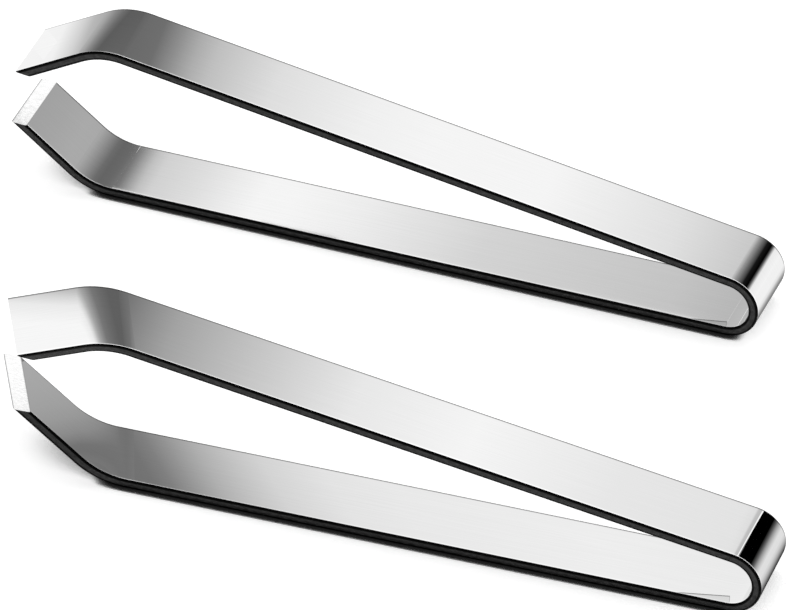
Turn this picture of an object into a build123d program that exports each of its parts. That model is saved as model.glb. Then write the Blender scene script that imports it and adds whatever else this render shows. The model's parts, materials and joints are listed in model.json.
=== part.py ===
from build123d import *
import os
from math import asin, atan2, cos, degrees, hypot, pi, radians, sin, tan

# Fish bone tweezers: a set of two that lie side by side, one with square tips and one with
# slanted tips. Each is a single strip of spring steel, folded round a bow into two arms.
# X runs along the arms with the tips at the minus end, Y across the strips, Z upwards.

# The strip, the same for both
strip_width = 12.0
strip_thickness = 1.5
corner_round = 0.3

# The spring bow, and how far the arms stand open at rest
bow_radius = 5.2
bow_straight = 6.0
opening_angle = 9.3

# The heads: the elbow in each arm, and the ground lands that meet when the arms are squeezed
elbow_radius = 11.0
jaw_turn = 39.0
land_clearance = 0.06

# Square-tipped tweezers, measured along the middle of the strip's outer face
square_arm_length = 100.2
square_jaw_length = 15.4
square_slant = 0.0

# Slanted tweezers: their elbows and tips run askew, so the far edge of each arm is longer
slanted_arm_length = 97.7
slanted_jaw_length = 16.2
slanted_slant = 25.0

# How the slanted tweezers lie beside the square-tipped ones
pair_spacing = 62.2
pair_offset = 22.5
pair_turn = 2.2

# Lengths of strip are cut this much too long, then trimmed to the slant or the land
trimming_spare = strip_width


class Tweezers:
    """Places that follow from the sizes, with the bow's centre over X = 0, Y = 0."""

    def __init__(self, arm_length, jaw_length, slant):
        self.slant = radians(slant)
        turn = radians(jaw_turn)
        # How much of each straight run the rounded elbow takes up, along the strip
        elbow_run = elbow_radius * tan(turn / 2) / cos(self.slant)
        self.arm_run = arm_length - elbow_run
        self.jaw_run = jaw_length - elbow_run
        self.elbow_slide = elbow_radius * tan(self.slant) * turn
        self.find_tip(turn)
        self.find_squeeze()

    def find_tip(self, turn):
        """The middle of the lower tip's edge, on the strip's outer face."""
        square_to_fold = cos(self.slant) * self.arm_run
        square_to_fold += elbow_radius * sin(turn) + cos(self.slant) * self.jaw_run * cos(turn)
        along_fold = sin(self.slant) * (self.arm_run + self.jaw_run) + self.elbow_slide
        self.tip_x = -square_to_fold * cos(self.slant) - along_fold * sin(self.slant)
        self.tip_y = along_fold * cos(self.slant) - square_to_fold * sin(self.slant)
        self.tip_z = elbow_radius * (1 - cos(turn)) + cos(self.slant) * self.jaw_run * sin(turn)

    def find_squeeze(self):
        """The line that the bow bends about, and the angle that brings the lands together."""
        half_sweep = radians(180 - opening_angle) / 2
        half_opening = radians(opening_angle) / 2
        middle_radius = bow_radius - strip_thickness / 2
        pivot_run = middle_radius * sin(half_sweep) / half_sweep
        self.pivot_x = pivot_run * cos(half_opening)
        self.pivot_z = bow_radius - pivot_run * sin(half_opening)
        reach = hypot(self.tip_x - self.pivot_x, self.tip_z - self.pivot_z)
        tip_rise = atan2(self.tip_z - self.pivot_z, self.pivot_x - self.tip_x)
        # The line midway between the arms when the lands meet
        self.land_rise = tip_rise + asin(land_clearance / 2 / reach)
        self.squeeze = degrees(2 * (half_opening - self.land_rise))

    def fold_plane(self):
        """The line across the strip where the elbow starts, facing the tip."""
        across = (-sin(self.slant), cos(self.slant), 0)
        to_tip = (-cos(self.slant), -sin(self.slant), 0)
        return Plane(origin=(-self.arm_run, 0, 0), x_dir=across, z_dir=to_tip)

    def elbow_axis(self):
        """The line that the elbow is bent about."""
        across = (-sin(self.slant), cos(self.slant), 0)
        return Axis(origin=(-self.arm_run, 0, elbow_radius), direction=across)

    def land_plane(self):
        """The plane that the lower land is ground to, facing the upper one."""
        tip = (self.tip_x, self.tip_y, self.tip_z)
        return Plane(origin=tip, z_dir=(sin(self.land_rise), 0, cos(self.land_rise)))

    def mirror_plane(self):
        """The plane midway between the arms at rest."""
        half_opening = radians(opening_angle) / 2
        return Plane(origin=(0, 0, bow_radius), z_dir=(sin(half_opening), 0, cos(half_opening)))


def straight_strip(from_x, length):
    """A flat length of strip on Z = 0, from one place on X towards the tips."""
    section_plane = Plane(
        origin=(from_x, 0, strip_thickness / 2), x_dir=(0, 1, 0), z_dir=(-1, 0, 0)
    )
    section = section_plane * RectangleRounded(strip_width, strip_thickness, corner_round)
    return extrude(section, amount=length)


def elbow(tweezers, fold_face):
    """The rounded elbow: the strip's section turned about the fold, and slid along it."""
    axis = tweezers.elbow_axis()
    if tweezers.slant == 0:
        return revolve(fold_face, axis=axis, revolution_arc=jaw_turn)
    start = Plane(origin=axis.position, x_dir=(0, 0, -1), z_dir=axis.direction)
    slide_per_turn = 2 * pi * elbow_radius * tan(tweezers.slant)
    path = start * Helix(pitch=slide_per_turn, height=tweezers.elbow_slide, radius=elbow_radius)
    return sweep(fold_face, path=path, is_frenet=True)


def jaw(tweezers):
    """The run beyond the elbow, bent up with it and left long for grinding."""
    blank_start = trimming_spare - tweezers.arm_run
    blank_length = 2 * trimming_spare + tweezers.jaw_run
    blank = straight_strip(blank_start, blank_length)
    flat_jaw = split(blank, bisect_by=tweezers.fold_plane(), keep=Keep.TOP)
    axis = tweezers.elbow_axis()
    return Pos(axis.direction * tweezers.elbow_slide) * flat_jaw.rotate(axis, jaw_turn)


def lower_arm(tweezers):
    """The arm that lies on the table: straight run, elbow and jaw with its ground land."""
    blank = straight_strip(-bow_straight, tweezers.arm_run + trimming_spare - bow_straight)
    arm = split(blank, bisect_by=tweezers.fold_plane(), keep=Keep.BOTTOM)
    fold_face = arm.faces().sort_by(Axis.X)[0]
    whole = arm + elbow(tweezers, fold_face) + jaw(tweezers)
    return split(whole, bisect_by=tweezers.land_plane(), keep=Keep.BOTTOM)


def upper_arm(tweezers):
    """The lower arm's mirror image across the plane midway between the arms."""
    return mirror(lower_arm(tweezers), about=tweezers.mirror_plane())


def spring_bow(tweezers):
    """The round fold that joins the arms, with a short straight run on each side."""
    lower_run = straight_strip(0, bow_straight)
    upper_run = mirror(lower_run, about=tweezers.mirror_plane())
    fold_face = lower_run.faces().sort_by(Axis.X)[-1]
    bow_axis = Axis(origin=(0, 0, bow_radius), direction=(0, -1, 0))
    bow = revolve(fold_face, axis=bow_axis, revolution_arc=180 - opening_angle)
    return lower_run + bow + upper_run


square = Tweezers(square_arm_length, square_jaw_length, square_slant)
slanted = Tweezers(slanted_arm_length, slanted_jaw_length, slanted_slant)
beside = Pos(pair_offset, -pair_spacing, 0) * Rot(0, 0, pair_turn)

nodes = {
    "square_lower_arm": lower_arm(square),
    "square_upper_arm": upper_arm(square),
    "square_spring_bow": spring_bow(square),
    "slanted_lower_arm": beside * lower_arm(slanted),
    "slanted_upper_arm": beside * upper_arm(slanted),
    "slanted_spring_bow": beside * spring_bow(slanted),
}

# The origin lies on the table, under the middle of the whole set
box = Compound(list(nodes.values())).bounding_box()
to_middle = Pos(-box.center().X, -box.center().Y, 0)

os.makedirs("parts", exist_ok=True)
for name, shape in nodes.items():
    export_step(to_middle * shape, f"parts/{name}.step")

for title, tweezers, place in (("square", square, Pos(0, 0, 0)), ("slanted", slanted, beside)):
    pivot = (to_middle * place * Pos(tweezers.pivot_x, 0, tweezers.pivot_z)).position
    print(title, "pivot", tuple(pivot), "squeeze", tweezers.squeeze)
    print(title, "tip", tweezers.tip_x, tweezers.tip_y, tweezers.tip_z)
print("set is", box.size.X, "by", box.size.Y, "by", box.size.Z)
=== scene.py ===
# %% [markdown]
# # A set of two fish bone tweezers
#
# Fish bone tweezers are about the simplest spring tool there is: one strip of stainless steel,
# folded round a bow into two arms, with a bent head on each arm. The set lies on a white table,
# square-tipped tweezers behind and slanted ones in front. Every step below first says what a
# part or a finish is on the real object, and then makes it.
#
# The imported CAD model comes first. It says where every arm is and what each one moves with, so
# nothing is placed by eye.

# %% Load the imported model
import json
from math import asin, atan2, cos, degrees, hypot, pi, radians, sin, tan

import bmesh
import bpy
from mathutils import Matrix, Vector
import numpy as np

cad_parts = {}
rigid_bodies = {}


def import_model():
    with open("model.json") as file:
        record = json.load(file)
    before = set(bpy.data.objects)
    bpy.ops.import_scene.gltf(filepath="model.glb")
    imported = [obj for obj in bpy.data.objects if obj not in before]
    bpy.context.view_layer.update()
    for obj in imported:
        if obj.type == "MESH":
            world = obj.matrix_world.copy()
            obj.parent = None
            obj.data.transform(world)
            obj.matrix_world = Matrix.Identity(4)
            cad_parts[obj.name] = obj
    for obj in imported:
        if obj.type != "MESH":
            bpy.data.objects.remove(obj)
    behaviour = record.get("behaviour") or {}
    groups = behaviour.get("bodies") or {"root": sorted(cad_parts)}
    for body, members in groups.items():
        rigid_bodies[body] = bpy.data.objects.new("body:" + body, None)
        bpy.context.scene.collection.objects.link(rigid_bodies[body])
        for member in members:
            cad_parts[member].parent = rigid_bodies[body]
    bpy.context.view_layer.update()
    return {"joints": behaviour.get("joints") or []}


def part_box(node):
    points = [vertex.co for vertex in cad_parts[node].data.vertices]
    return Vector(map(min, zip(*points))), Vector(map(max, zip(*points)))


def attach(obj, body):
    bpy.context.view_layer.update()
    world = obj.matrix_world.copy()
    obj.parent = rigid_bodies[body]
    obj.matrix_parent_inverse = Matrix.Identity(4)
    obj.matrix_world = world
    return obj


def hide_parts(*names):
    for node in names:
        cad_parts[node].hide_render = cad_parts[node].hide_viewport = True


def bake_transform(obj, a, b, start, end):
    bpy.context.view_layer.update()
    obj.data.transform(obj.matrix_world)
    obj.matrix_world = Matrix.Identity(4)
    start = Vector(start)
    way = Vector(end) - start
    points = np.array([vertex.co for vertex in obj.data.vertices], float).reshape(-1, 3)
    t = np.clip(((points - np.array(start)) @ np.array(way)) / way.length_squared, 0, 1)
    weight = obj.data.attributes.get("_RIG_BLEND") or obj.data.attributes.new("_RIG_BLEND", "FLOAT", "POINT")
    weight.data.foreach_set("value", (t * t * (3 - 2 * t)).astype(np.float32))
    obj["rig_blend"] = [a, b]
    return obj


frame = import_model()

mm = 0.001

# %% [markdown]
# ## The camera
#
# Parallel edges stay almost parallel in the picture, so the camera stood far back with a long
# lens. A distance and a lens set the scale together: the further back, the longer the lens for
# the same picture. The camera looks down on the bows' side of the set, from two fifths of the way
# up to the zenith. Its angles and its distance were fitted until the strip's edges lay on those in
# the picture.

# %% Camera
camera_azimuth = radians(20.98)
camera_elevation = radians(36.22)
camera_distance = 1918 * mm
lens_length = 600
looked_at = Vector((-5.6 * mm, 16.6 * mm, 0))
to_camera = Vector((
    sin(camera_azimuth) * cos(camera_elevation),
    -cos(camera_azimuth) * cos(camera_elevation),
    sin(camera_elevation),
))

long_lens = bpy.data.cameras.new("long_lens")
long_lens.lens = lens_length
long_lens.clip_end = 30
camera = bpy.data.objects.new("camera", long_lens)
camera.location = looked_at + camera_distance * to_camera
camera.rotation_euler = (-to_camera).to_track_quat("-Z", "Y").to_euler()
bpy.context.scene.collection.objects.link(camera)
bpy.context.scene.camera = camera
bpy.context.scene.view_settings.view_transform = "Standard"
print("camera at", [round(x, 3) for x in camera.location])

# %% [markdown]
# ## The sizes
#
# Both tweezers are folded from the same strip, round the same bow and with the same elbows.
# They differ only in the lengths of their arms and jaws, and in the slant of the folds. The
# pieces are modelled in millimetres, with the bow's centre over the origin and the lower arm flat
# on the table, running to minus X. They are brought to metres when each one is finished.

# %% Sizes in millimetres
strip_width = 12.0
strip_thickness = 1.5
corner_round = 0.3
corner_steps = 6
bow_radius = 5.2
bow_straight = 6.0
bow_steps = 72
opening = radians(9.3)
elbow_radius = 11.0
elbow_steps = 20
jaw_turn = radians(39)
land_clearance = 0.06
trimming_spare = 2 * strip_width
sliver = 0.004
to_tips = Vector((-1, 0, 0))

half_width = strip_width / 2
half_thickness = strip_thickness / 2
middle_radius = bow_radius - half_thickness
bow_sweep = pi - opening
half_bow = middle_radius * bow_sweep / 2
print("the bow takes", round(2 * half_bow, 2), "mm of strip")


# %% [markdown]
# ## One strip, measured along its length
#
# The strip is a rounded rectangle swept along a path: straight, round the bow, straight, round
# the elbow, straight. It could be a curve with a bevel, but a curve can't be folded on a slant.
# Pushing one cross section through space with extrude and spin follows what the press does.
#
# Every vertex also keeps three measures of where it is in the steel: along the strip from the
# middle of the bow, across it, and through its thickness. The finishes use them later, so that
# the grain runs round the bends with the steel.

# %% The strip's cross section
measures = ("along", "across", "through")


def new_strip(start_x):
    """A face across the strip at start_x, facing the tips, and the mesh that holds it."""
    mesh = bmesh.new()
    along, across, through = (mesh.verts.layers.float.new(name) for name in measures)
    # A grid of size 0.5 is one by one, and is stretched to the strip's section
    bmesh.ops.create_grid(mesh, x_segments=1, y_segments=1, size=0.5)
    stand_up = Matrix.Rotation(-pi / 2, 4, "Y")
    size = Matrix.Diagonal((strip_thickness, strip_width, 1, 1))
    place = Matrix.Translation((start_x, 0, half_thickness))
    bmesh.ops.transform(mesh, matrix=place @ stand_up @ size, verts=mesh.verts)
    bmesh.ops.bevel(
        mesh, geom=mesh.verts[:], offset=corner_round, offset_type="OFFSET",
        segments=corner_steps, profile=0.5, affect="VERTICES", material=-1,
    )
    for corner in mesh.verts:
        corner[along] = half_bow - start_x
        corner[across] = corner.co.y
        corner[through] = corner.co.z
    mesh.faces.ensure_lookup_table()
    return mesh, mesh.faces[0]


sample, sample_face = new_strip(0)
print("the section has", len(sample.verts), "corners, area", round(sample_face.calc_area(), 3))
sample.free()


# %% Straight runs and bends
def whole_face(face):
    """A face with its edges and corners, so that extruding it leaves no wall behind inside."""
    return [face, *face.edges, *face.verts]


def run_straight(mesh, end, direction, length):
    """Push the strip's end face on along a direction, and return the new end."""
    along = mesh.verts.layers.float["along"]
    made = bmesh.ops.extrude_face_region(mesh, geom=whole_face(end))["geom"]
    corners = [item for item in made if isinstance(item, bmesh.types.BMVert)]
    bmesh.ops.translate(mesh, vec=direction.normalized() * length, verts=corners)
    for corner in corners:
        corner[along] += length
    return next(item for item in made if isinstance(item, bmesh.types.BMFace))


def bend(mesh, end, centre, axis, angle, slide, steps, length):
    """Turn the strip's end about an axis in small steps, sliding it along the axis."""
    along = mesh.verts.layers.float["along"]
    for _ in range(steps):
        made = bmesh.ops.spin(
            mesh, geom=whole_face(end), cent=centre, axis=axis, dvec=axis * slide / steps,
            angle=angle / steps, steps=1,
        )["geom_last"]
        end = next(item for item in made if isinstance(item, bmesh.types.BMFace))
        for corner in end.verts:
            corner[along] += length / steps
    return end


sample, sample_end = new_strip(0)
run_straight(sample, sample_end, to_tips, 10)
print("10 mm of strip holds", round(sample.calc_volume(), 1), "cubic mm of steel")
sample.free()

# %% [markdown]
# ## The two shapes of tweezers
#
# The fold of an elbow can run square across the strip or on a slant. Metal folded on a slant
# travels sideways as it turns, so the slanted elbow is a piece of a screw thread: a turn about
# the fold and a slide along it. The tips are then ground until both lands meet flat when the
# arms are squeezed, which fixes the plane of the grinding.
#
# The places follow from a few lengths and angles. They could be read off the CAD model's corners
# one by one, but then a change of size would not carry through.

# %% Where the elbows, tips and lands are
class Tweezers:
    """One of the two tweezers, with the places that follow from its sizes."""

    def __init__(self, name, arm_length, jaw_length, slant):
        self.name = name
        self.slant = slant
        elbow_run = elbow_radius * tan(jaw_turn / 2) / cos(slant)
        self.arm_run = arm_length - elbow_run
        self.jaw_run = jaw_length - elbow_run
        self.fold_line = Vector((-sin(slant), cos(slant), 0))
        self.elbow_centre = Vector((-self.arm_run, 0, elbow_radius))
        self.elbow_slide = elbow_radius * tan(slant) * jaw_turn
        self.elbow_length = elbow_radius * jaw_turn / cos(slant)
        turned = Matrix.Rotation(jaw_turn, 3, self.fold_line)
        self.jaw_direction = turned @ to_tips
        foot = self.elbow_centre + turned @ Vector((0, 0, -elbow_radius))
        self.tip = foot + self.fold_line * self.elbow_slide + self.jaw_direction * self.jaw_run
        self.joint = next(j for j in frame["joints"] if j["name"] == name + "_squeeze")
        self.find_place()
        self.find_land()

    def find_place(self):
        """How the bow's centre line stands in the frame, from the joint that the CAD has."""
        half_sweep = bow_sweep / 2
        pivot_run = middle_radius * sin(half_sweep) / half_sweep
        self.pivot_x = pivot_run * cos(opening / 2)
        self.pivot_z = bow_radius - pivot_run * sin(opening / 2)
        axis = Vector(self.joint["axis"])
        turn = Matrix.Rotation(atan2(axis.x, -axis.y), 4, "Z")
        pivot = Vector(self.joint["pos_m"]) / mm
        move = Matrix.Translation(pivot - turn @ Vector((self.pivot_x, 0, self.pivot_z)))
        self.place = Matrix.Scale(mm, 4) @ move @ turn

    def find_land(self):
        """The direction that the lower land faces."""
        run = self.pivot_x - self.tip.x
        rise = self.tip.z - self.pivot_z
        slope = atan2(rise, run) + asin(land_clearance / 2 / hypot(run, rise))
        self.land_normal = Vector((sin(slope), 0, cos(slope)))


square = Tweezers("square", 100.2, 15.4, 0.0)
slanted = Tweezers("slanted", 97.7, 16.2, radians(25))
for tweezers in (square, slanted):
    print(tweezers.name, "tip", [round(x, 2) for x in tweezers.tip])


# %% [markdown]
# ## Arms
#
# The lower arm runs from the flat beside the bow, up the elbow and along the jaw, and is left
# too long. One cut grinds its land. The flat ends in a separate sliver of itself, four thousandths
# of a millimetre long, so that what the rest of it reflects stays straight right up to the fold.
# The arm could also be one solid block cut to shape, but then no measure would follow the strip.

# %% The lower arm
sheared, ground = 1, 2


def slant_the_end(mesh, end, slant):
    """Slide the end face's corners along the strip until it lies on the slanted fold."""
    along = mesh.verts.layers.float["along"]
    shear = Matrix.Identity(4)
    shear[0][1] = -tan(slant)
    for corner in end.verts:
        corner[along] += corner.co.y * tan(slant)
    bmesh.ops.transform(mesh, matrix=shear, verts=end.verts)


def grind_land(mesh, tweezers):
    """Cut the jaw off along the plane where the two lands meet, and close the cut."""
    everything = mesh.verts[:] + mesh.edges[:] + mesh.faces[:]
    cut = bmesh.ops.bisect_plane(
        mesh, geom=everything, plane_co=tweezers.tip, plane_no=tweezers.land_normal,
        clear_outer=True,
    )["geom_cut"]
    rim = [item for item in cut if isinstance(item, bmesh.types.BMEdge)]
    land = bmesh.ops.edgeloop_fill(mesh, edges=rim)["faces"][0]
    land.material_index = ground


def lower_arm(tweezers):
    """The arm that lies on the table, with its elbow, its jaw and the ground land."""
    mesh, end = new_strip(-bow_straight)
    end = run_straight(mesh, end, to_tips, tweezers.arm_run - bow_straight - sliver)
    slant_the_end(mesh, end, tweezers.slant)
    end = run_straight(mesh, end, to_tips, sliver)
    end = bend(
        mesh, end, tweezers.elbow_centre, tweezers.fold_line, jaw_turn,
        tweezers.elbow_slide, elbow_steps, tweezers.elbow_length,
    )
    run_straight(mesh, end, tweezers.jaw_direction, tweezers.jaw_run + trimming_spare)
    grind_land(mesh, tweezers)
    return mesh


sample = lower_arm(square)
print("a square-tipped arm holds", round(sample.calc_volume() / 1000, 2), "cubic cm of steel")
sample.free()

# %% [markdown]
# ## The upper arm, and the bow
#
# The upper arm is the same arm in a mirror, which stands halfway between the two. A mirror turns
# a mesh inside out, so its faces are turned back when the piece is finished. The two arms could
# also be drawn apart, but then they would not be sure to meet.
#
# The bow is the spring. It is bent in many small steps, because a polished curve shows every
# facet. Its measure along the strip starts from the lower arm's side, and is turned round at the
# end so that it grows towards the lower tips, as the arms' measure does.

# %% The upper arm, and the bow
bow_centre = Vector((0, 0, bow_radius))
mirror_normal = Vector((sin(opening / 2), 0, cos(opening / 2)))


def upper_arm(tweezers):
    """The lower arm's mirror image."""
    mesh = lower_arm(tweezers)
    along = mesh.verts.layers.float["along"]
    middle = Matrix.Translation(bow_centre)
    mirror = middle @ Matrix.Scale(-1, 4, mirror_normal) @ middle.inverted()
    bmesh.ops.transform(mesh, matrix=mirror, verts=mesh.verts)
    for corner in mesh.verts:
        corner[along] = -corner[along]
    return mesh


def spring_bow():
    """The round fold, with the short flats that join it to the arms."""
    mesh, end = new_strip(-bow_straight)
    along = mesh.verts.layers.float["along"]
    end = run_straight(mesh, end, Vector((1, 0, 0)), bow_straight)
    end = bend(
        mesh, end, bow_centre, Vector((0, -1, 0)), bow_sweep, 0, bow_steps, 2 * half_bow,
    )
    run_straight(mesh, end, Vector((-cos(opening), 0, sin(opening))), bow_straight)
    for corner in mesh.verts:
        corner[along] = 2 * (half_bow + bow_straight) - corner[along]
    return mesh


sample = spring_bow()
print("the bow holds", round(sample.calc_volume() / 1000, 2), "cubic cm of steel")
sample.free()

# %% [markdown]
# ## Which faces take which finish
#
# A strip cut from a sheet has three kinds of surface: broad faces that are polished, narrow sides
# that the shear left duller and that are painted near black, a painted dark reflection, and the
# land, which is ground last. The measure across the strip says which band of faces is which. Of
# the facets that round a corner, only the first is polished with the broad face, and the rest is
# as dark as the side.
#
# The steel's flats must reflect as flats. A normal that is shared with the rounded corner would
# tilt the reflection near the edges, so each corner of the mesh takes the normal of its largest
# face, by the Weighted Normal modifier.

# %% Finishes by band, and from mesh to object
first_facet = pi / 2 / corner_steps
side_start = half_width - corner_round * (1 - sin(first_facet))
weld_distance = 0.0005 * mm
sharp_angle = radians(30)
print("the dark sides start", round(side_start, 2), "mm from the strip's middle")


def mark_finishes(mesh):
    """Give each band of faces its finish, by how far out from the strip's middle it lies."""
    across = mesh.verts.layers.float["across"]
    for face in mesh.faces:
        out = sum(abs(corner[across]) for corner in face.verts) / len(face.verts)
        if out > side_start and face.material_index != ground:
            face.material_index = sheared


def to_object(mesh, name, tweezers, finishes):
    """Bring a finished mesh to metres and to its place, and make it an object."""
    mark_finishes(mesh)
    bmesh.ops.transform(mesh, matrix=tweezers.place, verts=mesh.verts)
    bmesh.ops.remove_doubles(mesh, verts=mesh.verts, dist=weld_distance)
    bmesh.ops.recalc_face_normals(mesh, faces=mesh.faces)
    for face in mesh.faces:
        face.smooth = True
    for edge in mesh.edges:
        edge.smooth = edge.calc_face_angle() < sharp_angle
    made = bpy.data.meshes.new(name)
    mesh.to_mesh(made)
    mesh.free()
    for finish in finishes:
        made.materials.append(finish)
    piece = bpy.data.objects.new(name, made)
    bpy.context.scene.collection.objects.link(piece)
    normals = piece.modifiers.new("flat_sides_stay_flat", "WEIGHTED_NORMAL")
    normals.keep_sharp = True
    # At 50 all faces round a corner count, and at 100 only the largest
    normals.weight = 100
    return piece


# %% [markdown]
# ## Finishes
#
# There are three finishes, one for each band. They all read the three measures that the vertices
# keep, so their grain follows the steel round the bow and the elbows, and stays with it when the
# arms move. A picture wrapped round the strip could do the same, but it would blur up close.
#
# Steel could be a glossy grey paint, but only a metallic shader mirrors its surroundings in its
# own tone, which is what makes these tweezers look like steel.

# %% Helpers for node trees
noise_low, noise_high = 0.3, 0.7


def add(tree, kind, sockets=None, **settings):
    """Add a node, set it up, and give its sockets numbers or links."""
    made = tree.nodes.new("ShaderNode" + kind)
    for setting, value in settings.items():
        setattr(made, setting, value)
    for socket, value in (sockets or {}).items():
        if isinstance(value, bpy.types.NodeSocket):
            tree.links.new(value, made.inputs[socket])
        else:
            made.inputs[socket].default_value = value
    return made


def measure(tree, name):
    """The value that each vertex keeps under that name."""
    return add(tree, "Attribute", attribute_name=name).outputs["Fac"]


def strip_place(tree, stretch):
    """Where a point is in the strip: along, across and through, each times its stretch."""
    along, across, through = (measure(tree, name) for name in measures)
    place = add(tree, "CombineXYZ", {"X": along, "Y": across, "Z": through})
    scaled = add(tree, "VectorMath", {0: place.outputs[0], 1: stretch}, operation="MULTIPLY")
    return scaled.outputs[0]


def noise(tree, stretch, detail):
    """A noise in the strip's own measures, mostly between noise_low and noise_high."""
    made = add(tree, "TexNoise", {
        "Vector": strip_place(tree, stretch), "Scale": 1.0, "Detail": detail,
    })
    return made.outputs["Fac"]


print("the finishes read", ", ".join(measures))


# %% Helpers for values
def spread(tree, value, low, high, to_low, to_high, smooth=False):
    """Bring a value from one range to another, and hold it inside that."""
    made = add(tree, "MapRange", {
        "Value": value, "From Min": low, "From Max": high, "To Min": to_low, "To Max": to_high,
    }, interpolation_type="SMOOTHSTEP" if smooth else "LINEAR")
    return made.outputs["Result"]


def combine(tree, operation, first, second):
    """One arithmetic step on two values."""
    return add(tree, "Math", {0: first, 1: second}, operation=operation).outputs[0]


def grey_colour(tree, value):
    """A neutral grey."""
    return add(tree, "CombineColor", {0: value, 1: value, 2: value}).outputs[0]


def off_the_middle(tree):
    """How far a point lies from the middle of the strip's thickness, either way."""
    signed = combine(tree, "SUBTRACT", measure(tree, "through"), half_thickness)
    return add(tree, "Math", {0: signed}, operation="ABSOLUTE").outputs[0]


print("the broad faces lie", half_thickness, "mm off the middle")


# %% What the three finishes share
def new_metal(name):
    """A metallic material, its node tree and its shader."""
    material = bpy.data.materials.new(name)
    material.use_nodes = True
    shader = material.node_tree.nodes["Principled BSDF"]
    shader.inputs["Metallic"].default_value = 1.0
    return material, material.node_tree, shader


def dress(tree, shader, tone, rough, height, depth):
    """Give the shader a grey tone, a roughness, and a relief as deep as depth, in metres."""
    tree.links.new(grey_colour(tree, tone), shader.inputs["Base Color"])
    tree.links.new(rough, shader.inputs["Roughness"])
    relief = add(tree, "Bump", {"Strength": 1.0, "Distance": depth, "Height": height})
    tree.links.new(relief.outputs["Normal"], shader.inputs["Normal"])


print("materials so far:", [material.name for material in bpy.data.materials])

# %% [markdown]
# ## Polished steel
#
# The broad faces are buffed lengthwise. That leaves almost a mirror, with a fine grain along the
# strip and faint clouds where the wheel pressed harder. A painted highlight brightens the near
# edge and a painted dark line darkens the far one, each about a third of a millimetre wide; they
# stand in for what the rounded edges reflect. The relief is a hair of what a real buff leaves,
# because anything deeper would break up the reflections of things that hang far off.

# %% Polished steel
far_edge_shade_width = 0.3
near_edge_highlight_width = 0.35
edge_fade = 0.2


def polished_steel():
    """Bright steel, with grain and clouds from polishing, and painted light and dark edge lines."""
    material, tree, shader = new_metal("polished_steel")
    # The grain is about 12 mm long and a seventh of a millimetre wide
    grain = noise(tree, (0.08, 7.0, 7.0), 3.0)
    clouds = noise(tree, (0.10, 0.22, 0.22), 2.0)
    across = measure(tree, "across")
    far_edge_shade_start = half_width - far_edge_shade_width
    near_edge_highlight_end = near_edge_highlight_width - half_width
    # A painted dark line on the far edge and a painted highlight on the near one, for what the rounded edges
    # reflect
    far_edge_painted_shade = spread(tree, across, far_edge_shade_start - edge_fade, far_edge_shade_start, 1.0, 0.25)
    near_edge_painted_highlight = spread(tree, across, near_edge_highlight_end, near_edge_highlight_end + edge_fade, 1.18, 1.0)
    tone = spread(tree, grain, noise_low, noise_high, 0.81, 0.84)
    tone = combine(tree, "MULTIPLY", tone, far_edge_painted_shade)
    tone = combine(tree, "MULTIPLY", tone, near_edge_painted_highlight)
    rough = spread(tree, clouds, noise_low, noise_high, 0.006, 0.015)
    dress(tree, shader, tone, rough, grain, 0.02e-6)
    return material


finishes = [polished_steel()]
print("broad faces:", finishes[0].name)

# %% [markdown]
# ## Sheared edges
#
# A shear pushes through the sheet until the rest of it tears. The narrow sides keep its duller
# skin, streaked along the cut. Their near-black tone is a painted dark reflection, and the black
# bands along both corners are painted shade, darker than the grey middle. Such a band could be a
# piece of its own, but the measure through the strip tells the middle from the bands without one.

# %% Sheared edges
shaded_border_height = 0.31
shaded_border_fade = 0.18


def sheared_edge():
    """The narrow sides: the shear's streaked skin, painted near black with shaded black corner bands."""
    material, tree, shader = new_metal("sheared_edge")
    streaks = noise(tree, (1.2, 0.5, 2.5), 3.0)
    shaded_border_start = half_thickness - shaded_border_height
    out = off_the_middle(tree)
    # Painted shade: the tone drops to black in a band along both corners of each side
    painted_border_shade = spread(tree, out, shaded_border_start - shaded_border_fade, shaded_border_start, 1.0, 0.08, smooth=True)
    # The near-black level is a painted dark reflection; only the streaks are the shear's own
    streaked = spread(tree, streaks, noise_low, noise_high, 0.02, 0.05)
    tone = combine(tree, "MULTIPLY", painted_border_shade, streaked)
    rough = spread(tree, streaks, noise_low, noise_high, 0.3, 0.45)
    dress(tree, shader, tone, rough, streaks, 12e-6)
    return material


finishes.append(sheared_edge())
print("narrow sides:", finishes[sheared].name)

# %% [markdown]
# ## Ground lands
#
# The lands are ground on a wheel, across the tips. That leaves a pale face with short uneven
# marks. Painted shade darkens it along its two long edges, for the thin dark line that its sharp
# edges show. The marks are closer together across the strip than along it, so the noise is
# squeezed that way.

# %% Ground lands
painted_edge_shade_height = 0.12
painted_edge_shade_fade = 0.09


def ground_land():
    """The ground lands: almost white, with short uneven marks of the wheel across them."""
    material, tree, shader = new_metal("ground_land")
    marks = noise(tree, (1.5, 5.0, 1.5), 4.0)
    # Painted shade: darker along the land's two long edges, for the thin dark line at its sharp edges
    painted_edge_shade_start = half_thickness - painted_edge_shade_height
    painted_edge_shade = spread(tree, off_the_middle(tree), painted_edge_shade_start, painted_edge_shade_start + painted_edge_shade_fade, 1.0, 0.3)
    tone = spread(tree, marks, noise_low, 0.6, 0.82, 0.95)
    tone = combine(tree, "MULTIPLY", tone, painted_edge_shade)
    rough = spread(tree, marks, noise_low, noise_high, 0.25, 0.15)
    dress(tree, shader, tone, rough, marks, 1.5e-6)
    return material


finishes.append(ground_land())
print("lands:", finishes[ground].name)

# %% [markdown]
# ## The six pieces
#
# An arm rides on its own body. The bow belongs to both: its lower end stays with the lower arm
# and its upper end follows the upper arm, with a soft change between, as the spring bends when
# the tweezers are squeezed. It could ride on one arm as it is, but then it would tear from the
# other. Each piece replaces the CAD model's, and has its size to within a thousandth of a
# millimetre.

# %% Make the pieces
blend_reach = 3.6


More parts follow.
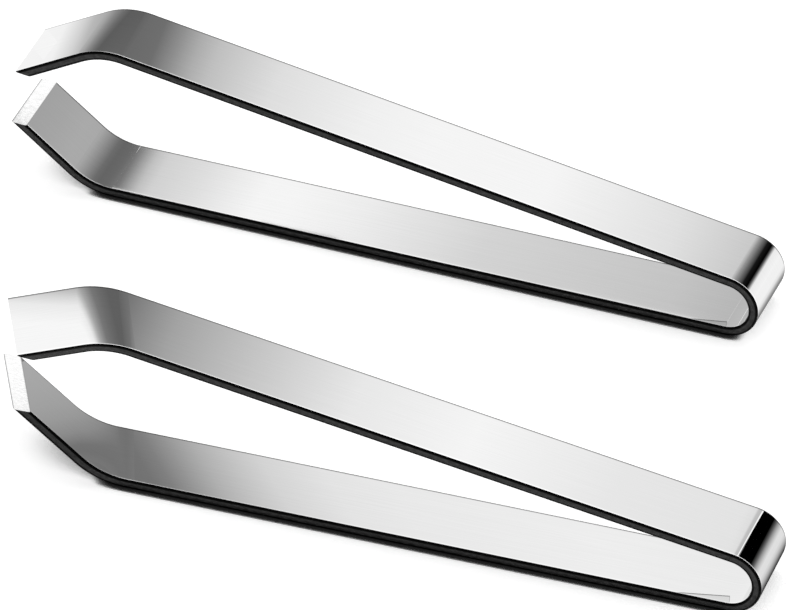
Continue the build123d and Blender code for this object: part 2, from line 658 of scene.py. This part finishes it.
def report(piece, node):
    """Print how closely a piece keeps the box of the CAD node that it replaces."""
    low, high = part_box(node)
    corners = [vertex.co for vertex in piece.data.vertices]
    piece_low = [min(c[i] for c in corners) for i in range(3)]
    piece_high = [max(c[i] for c in corners) for i in range(3)]
    apart = max(abs(a - b) for a, b in zip([*low, *high], piece_low + piece_high))
    print(piece.name, len(piece.data.vertices), "vertices, off by", round(apart / mm, 4), "mm")


for tweezers in (square, slanted):
    name = tweezers.name
    lower = to_object(lower_arm(tweezers), name + "_lower_steel", tweezers, finishes)
    upper = to_object(upper_arm(tweezers), name + "_upper_steel", tweezers, finishes)
    bow = to_object(spring_bow(), name + "_bow_steel", tweezers, finishes)
    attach(lower, name + "_lower")
    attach(upper, name + "_upper")
    start = tweezers.place @ (bow_centre - blend_reach * mirror_normal)
    end = tweezers.place @ (bow_centre + blend_reach * mirror_normal)
    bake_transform(bow, name + "_lower", name + "_upper", start=start, end=end)
    for piece, node in ((lower, "_lower_arm"), (upper, "_upper_arm"), (bow, "_spring_bow")):
        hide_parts(name + node)
        report(piece, name + node)


# %% [markdown]
# ## Boards round the set
#
# Polished steel has hardly any colour of its own: it shows the studio. A photographer who shoots
# cutlery hangs grey and white boards where the steel reflects to, and the soft steps from white
# to black in the arms, elbows and bows are pictures of those boards. Texture on the steel would
# stay put when the tweezers or the camera move, which no real reflection does.
#
# A board is a plain sheet that shines in bands and casts no shadow. Only reflections see it. Its
# places are in millimetres in the tweezers' own frame, and a band is a place on the board with the
# level of light there, where 1 is white.

# %% How a board is made
brightest = 1.2


def board_light(name, bands):
    """A light in bands, each given as a place on the board and a level."""
    material = bpy.data.materials.new(name)
    material.use_nodes = True
    material.cycles.emission_sampling = "NONE"
    tree = material.node_tree
    tree.nodes.clear()
    first, last = bands[0][0], bands[-1][0]
    where = spread(tree, measure(tree, "band"), first, last, 0.0, 1.0)
    ramp = add(tree, "ValToRGB", {"Fac": where})
    for place, _ in bands[1:-1]:
        ramp.color_ramp.elements.new((place - first) / (last - first))
    for stop, (_, level) in zip(ramp.color_ramp.elements, bands):
        stop.color = (level / brightest, level / brightest, level / brightest, 1)
    shine = add(tree, "Emission", {"Color": ramp.outputs["Color"], "Strength": brightest})
    add(tree, "OutputMaterial", {0: shine.outputs[0]})
    return material


def hang(name, shape, tweezers, band_of, bands):
    """Hang a board in the tweezers' own frame, where it shows in the steel and nowhere else."""
    band = shape.verts.layers.float.new("band")
    for corner in shape.verts:
        corner[band] = band_of(corner.co)
    bmesh.ops.transform(shape, matrix=tweezers.place, verts=shape.verts)
    made = bpy.data.meshes.new(name)
    shape.to_mesh(made)
    shape.free()
    made.materials.append(board_light(name, bands))
    board = bpy.data.objects.new(name, made)
    bpy.context.scene.collection.objects.link(board)
    for sight in ("camera", "diffuse", "shadow", "transmission", "volume_scatter"):
        setattr(board, "visible_" + sight, False)


print("boards shine up to", brightest, "times white")


# %% Three shapes of boards
ring_steps = 48


def upright_board(name, tweezers, y, corners, bands, run=(1.0, 0.0)):
    """A board across the view, with its bands one after another along a direction in X and Z."""
    shape = bmesh.new()
    rim = [shape.verts.new((x, y, z)) for x, z in corners]
    sides = [shape.edges.new(pair) for pair in zip(rim, rim[1:] + rim[:1])]
    bmesh.ops.contextual_create(shape, geom=sides)
    hang(name, shape, tweezers, lambda at: at.x * run[0] + at.z * run[1], bands)


def round_board(name, tweezers, centre, edges, bands):
    """A board spun about a line along Y, with its bands measured in degrees from straight up."""
    shape = bmesh.new()
    first, last = radians(bands[0][0]), radians(bands[-1][0])
    x, z = centre
    start = [shape.verts.new((x + r * sin(first), y, z + r * cos(first))) for r, y in edges]
    line = shape.edges.new(start)
    bmesh.ops.spin(
        shape, geom=[*start, line], cent=(x, 0, z), axis=(0, 1, 0), angle=last - first,
        steps=ring_steps,
    )
    hang(name, shape, tweezers, lambda at: degrees(atan2(at.x - x, at.z - z)), bands)


def low_board(name, tweezers, z, near, far, bands):
    """A board lying just over the table, with its bands one after another along X."""
    shape = bmesh.new()
    start = [shape.verts.new((bands[0][0], y, z)) for y in (near, far)]
    line = shape.edges.new(start)
    made = bmesh.ops.extrude_edge_only(shape, edges=[line])["geom"]
    moved = [item for item in made if isinstance(item, bmesh.types.BMVert)]
    bmesh.ops.translate(shape, vec=(bands[-1][0] - bands[0][0], 0, 0), verts=moved)
    hang(name, shape, tweezers, lambda at: at.x, bands)


def count_boards(tweezers):
    """How many boards hang round the tweezers."""
    names = [item.name for item in bpy.data.objects if item.name.endswith("_board")]
    return sum(name.startswith(tweezers.name) for name in names)


print("boards hang so far:", count_boards(square) + count_boards(slanted))

# %% [markdown]
# ## Boards for the square-tipped tweezers
#
# The arm and head boards hang close behind, and show in the upper arm, its elbow and its jaw. The
# flat and the elbow of the lower arm reflect past the same places close by, so their boards hang
# two metres off, where the two part: the floor board shows in the flat, and the rings in the elbow
# and the jaw. The inner boards show where the arms and the bow mirror each other, the land board
# in the ground land, and the bow boards in the round of the bow.
#
# All of them could be one big dome with a picture on it, but then no board could be moved alone.

# %% Upper arm, elbow and jaw
upright_board(
    "square_arm_board", square, y=34,
    corners=[(-1.5, 31.5), (-1.5, 52), (-104, 70), (-104, 48.4)],
    bands=[
        (-104, 0.15), (-96, 0.19), (-93, 0.33), (-90, 0.50), (-87, 0.63), (-77, 0.88),
        (-62, 1.05), (-52, 1.1), (-33, 1.1), (-13, 0.9), (-1.5, 0.70),
    ],
)
upright_board(
    "square_head_board", square, y=34.5,
    corners=[(-100, 42.5), (-117, 35), (-121, 16), (-152, 14), (-152, 72), (-100, 72)],
    bands=[
        (-10, 1.08), (-5, 1.04), (-2.5, 0.76), (-1.2, 0.57), (0, 0.50), (4, 0.44), (10, 0.30),
        (16, 0.19), (21, 0.13), (36, 0.15),
    ],
    run=(0.2, 1.0),
)
print(count_boards(square), "boards hang round the square-tipped tweezers")

# %% Lower arm, its elbow, jaw and land
upright_board(
    "square_floor_board", square, y=2000,
    corners=[(-670, 1532), (-670, 1567.2), (-935, 1567.2), (-935, 1532)],
    bands=[
        (-365, 0.16), (-347, 0.20), (-345, 0.30), (-342.5, 0.45), (-339.5, 0.64), (-335, 0.77),
        (-328, 0.82), (-320, 0.88), (-309, 0.99), (-297, 1.10), (-285, 1.10), (-261, 1.02),
        (-237, 0.90), (-214, 0.79), (-142, 0.66), (-119, 0.56),
    ],
    run=(1.0, 0.37),
)
round_board(
    "square_elbow_start_board", square, centre=(-100, 7), edges=[(1737, 2010), (1786, 2010)],
    bands=[(-26.3, 0.205), (-21, 0.18), (-14, 0.165)],
)
round_board(
    "square_elbow_board", square, centre=(-100, 7), edges=[(1600, 2010), (1950, 2010)],
    bands=[
        (-14, 0.165), (0, 0.155), (10.5, 0.18), (21, 0.26), (31, 0.34), (41.5, 0.42),
        (46, 0.455), (48.7, 0.455), (49.0, 0.43), (49.2, 0.45), (49.5, 0.485), (49.7, 0.475),
        (54, 0.47),
    ],
)
upright_board(
    "square_inner_board", square, y=2005,
    corners=[(-640, -100), (-640, 1532), (-2200, 1532), (-2200, -100)],
    bands=[(-2200, 0.6), (-700, 0.56), (-640, 1.0)],
)
low_board(
    "square_inner_floor_board", square, z=0.2, near=-4, far=60,
    bands=[(-60, 0.56), (3, 0.56)],
)
upright_board(
    "square_land_board", square, y=7,
    corners=[(-109, 9), (-113.2, 9), (-117.6, 21.5), (-113, 21.5)],
    bands=[(-118, 1.08), (-109, 1.08)],
)
print(count_boards(square), "boards hang round the square-tipped tweezers")

# %% Bow
round_board(
    "square_bow_board", square, centre=(0, 0), edges=[(100, 97), (100, 121)],
    bands=[
        (-6, 0.72), (1, 0.56), (9, 0.35), (21, 0.155), (34, 0.01), (50, 0.0), (54, 0.08),
        (57, 0.22), (62, 0.69), (65, 1.0), (100, 1.1),
    ],
)
low_board(
    "square_bow_floor_board", square, z=0.2, near=-4, far=130,
    bands=[(3, 0.2), (5.5, 0.25), (7, 0.5), (9, 0.9), (12, 1.05), (110, 1.1)],
)
print(count_boards(square), "boards hang round the square-tipped tweezers")

# %% [markdown]
# ## Boards for the slanted tweezers
#
# The slanted elbow leans away from its flat, so what the two reflect parts close by, and a floor
# board and a jaw board just behind the lower arm serve it as they stand. The rest is as for the
# square-tipped tweezers, with the bands moved to where this pair shows them.

# %% Upper arm, elbow and jaw of the slanted tweezers
upright_board(
    "slanted_arm_board", slanted, y=34,
    corners=[(10.3, 29.5), (10.3, 52), (-104, 72), (-104, 48)],
    bands=[
        (-104, 0.15), (-97, 0.2), (-88.5, 0.44), (-71, 0.76), (-60, 0.97), (-42, 1.1),
        (-20, 0.96), (-1.5, 0.93), (1.0, 0.84), (3.5, 0.64), (8.0, 0.60), (8.8, 1.2), (10.3, 1.2),
    ],
)
upright_board(
    "slanted_head_board", slanted, y=34.5,
    corners=[
        (-100, 49), (-115, 55), (-135, 55), (-150, 50), (-165, 42), (-182, 42), (-182, 86),
        (-100, 86),
    ],
    bands=[
        (-198, 1.12), (-190.5, 1.0), (-187, 0.8), (-184.5, 0.62), (-181, 0.45), (-176, 0.33),
        (-170, 0.22), (-162, 0.18), (-150, 0.14),
    ],
    run=(1.0, -0.6),
)
print(count_boards(slanted), "boards hang round the slanted tweezers")

# %% Lower arm, elbow, jaw and land of the slanted tweezers
upright_board(
    "slanted_floor_board", slanted, y=8,
    corners=[
        (3, 0.3), (3, 9), (-1, 11.8), (-5, 12.5), (-8, 12.9), (-94.2, 12.9), (-94.2, 0.3),
    ],
    bands=[
        (-104.5, 0.19), (-98, 0.21), (-95, 0.26), (-92, 0.35), (-87, 0.52), (-82, 0.66),
        (-77, 0.79), (-67, 0.93), (-57, 0.98), (-27, 1.03), (-7, 1.0),
    ],
    run=(1.0, -0.55),
)
upright_board(
    "slanted_jaw_board", slanted, y=8.1,
    corners=[(-94, 0.3), (-94, 12.9), (-107.2, 12.9), (-110.2, 9.4), (-111.5, 0.3)],
    bands=[
        (-110.5, 0.48), (-106, 0.45), (-103, 0.42), (-100.7, 0.38), (-98.3, 0.31),
        (-97.2, 0.255), (-96.4, 0.21), (-95.4, 0.20), (-94, 0.225),
    ],
)
upright_board(
    "slanted_land_board", slanted, y=9,
    corners=[(-110.8, 10.1), (-115.2, 10.1), (-113.2, 21.5), (-108.8, 21.5)],
    bands=[(-116, 1.08), (-105, 1.08)],
)
print(count_boards(slanted), "boards hang round the slanted tweezers")

# %% Bow of the slanted tweezers
round_board(
    "slanted_bow_board", slanted, centre=(0, 0), edges=[(40, 29), (40, 51)],
    bands=[
        (16, 0.0), (53, 0.0), (58, 0.05), (64, 0.15), (71, 0.38), (79, 0.62), (87, 0.82),
        (94, 0.9),
    ],
)
low_board(
    "slanted_bow_floor_board", slanted, z=0.3, near=-4, far=55,
    bands=[
        (3, 0.05), (5.4, 0.05), (6.7, 0.2), (8.8, 0.5), (11.7, 0.75), (16, 0.88), (48, 0.9),
    ],
)
print(count_boards(slanted), "boards hang round the slanted tweezers")

# %% [markdown]
# ## The table
#
# The set lies on a plain white table under soft light, so its shadows are faint, except where the
# steel almost touches the table and no light gets in. That thin dark line round a thing is what
# makes it lie on the table instead of floating over it. Ambient occlusion, the share of the sky
# that a point can see within a short distance, finds those places. The near measure looks
# backwards, so the line lies in front of the steel, as in light from behind. The wide one looks
# to the right and up, and finds the table under the raised jaws. Lamps could draw these shadows
# too, but in the tent's light from all sides they come out far too soft.

# %% Table
half_table = 8
near_distance = 1.1 * mm
wide_distance = 8 * mm
sky_samples = 12
own_light = 0.35

floor_mesh = bpy.data.meshes.new("table_top")
shape = bmesh.new()
bmesh.ops.create_grid(shape, x_segments=1, y_segments=1, size=half_table)
shape.to_mesh(floor_mesh)
shape.free()
floor = bpy.data.objects.new("table_top", floor_mesh)
bpy.context.scene.collection.objects.link(floor)
print("table", [round(x, 1) for x in floor.dimensions], "m")

# %% The table's white paint, darker where the sky is hidden
white = bpy.data.materials.new("white_table")
white.use_nodes = True
tree = white.node_tree
paint = tree.nodes["Principled BSDF"]
behind = add(tree, "CombineXYZ", {"X": 0.0, "Y": 1.0, "Z": 0.0}).outputs[0]
right = add(tree, "CombineXYZ", {"X": 0.6, "Y": 0.0, "Z": 0.8}).outputs[0]
near_sky = add(
    tree, "AmbientOcclusion", {"Distance": near_distance, "Normal": behind}, samples=sky_samples,
)
wide_sky = add(
    tree, "AmbientOcclusion", {"Distance": wide_distance, "Normal": right}, samples=sky_samples,
)
near_shade = spread(tree, near_sky.outputs["AO"], 0.70, 0.92, 0.02, 1.0, smooth=True)
wide_shade = spread(tree, wide_sky.outputs["AO"], 0.05, 0.50, 0.35, 1.0, smooth=True)
shade = combine(tree, "MULTIPLY", near_shade, wide_shade)
tone = combine(tree, "MULTIPLY", shade, 0.95)
tree.links.new(grey_colour(tree, tone), paint.inputs["Base Color"])
paint.inputs["Roughness"].default_value = 0.9
paint.inputs["Specular IOR Level"].default_value = 0.0
# A little light of its own, which only the camera, the steel and glass see
path = add(tree, "LightPath")
seen = combine(tree, "MAXIMUM", path.outputs["Is Camera Ray"], path.outputs["Is Glossy Ray"])
seen = combine(tree, "MAXIMUM", seen, path.outputs["Is Transmission Ray"])
tree.links.new(grey_colour(tree, shade), paint.inputs["Emission Color"])
tree.links.new(combine(tree, "MULTIPLY", seen, own_light), paint.inputs["Emission Strength"])
floor.data.materials.append(white)
print("paint:", white.name, "with", len(tree.nodes), "nodes")

# %% [markdown]
# ## The light
#
# The room is one big white tent, which lights from all sides and leaves no hard shadows. It is
# darker on the camera's side, brighter overhead, and darker low down behind the set, which draws a
# fine dark line along the far edges. Area lamps could light the set as well, but polished steel
# would show each of them as a bright square.

# %% World
world = bpy.data.worlds.new("studio")
bpy.context.scene.world = world
world.use_nodes = True
sky = world.node_tree
background = sky.nodes["Background"]
direction = add(sky, "SeparateXYZ", {0: add(sky, "TexCoord").outputs["Generated"]})
back = spread(sky, direction.outputs["Y"], -0.45, 0.25, 0.45, 1.0, smooth=True)
top = spread(sky, direction.outputs["Z"], 0.70, 0.95, 0.0, 0.6, smooth=True)
rim = spread(sky, direction.outputs["Y"], 0.86, 0.94, 1.0, 0.2, smooth=True)
level = combine(sky, "MULTIPLY", combine(sky, "ADD", back, top), rim)
sky.links.new(level, background.inputs["Color"])
print("the tent's light is made of", len(sky.nodes), "nodes")
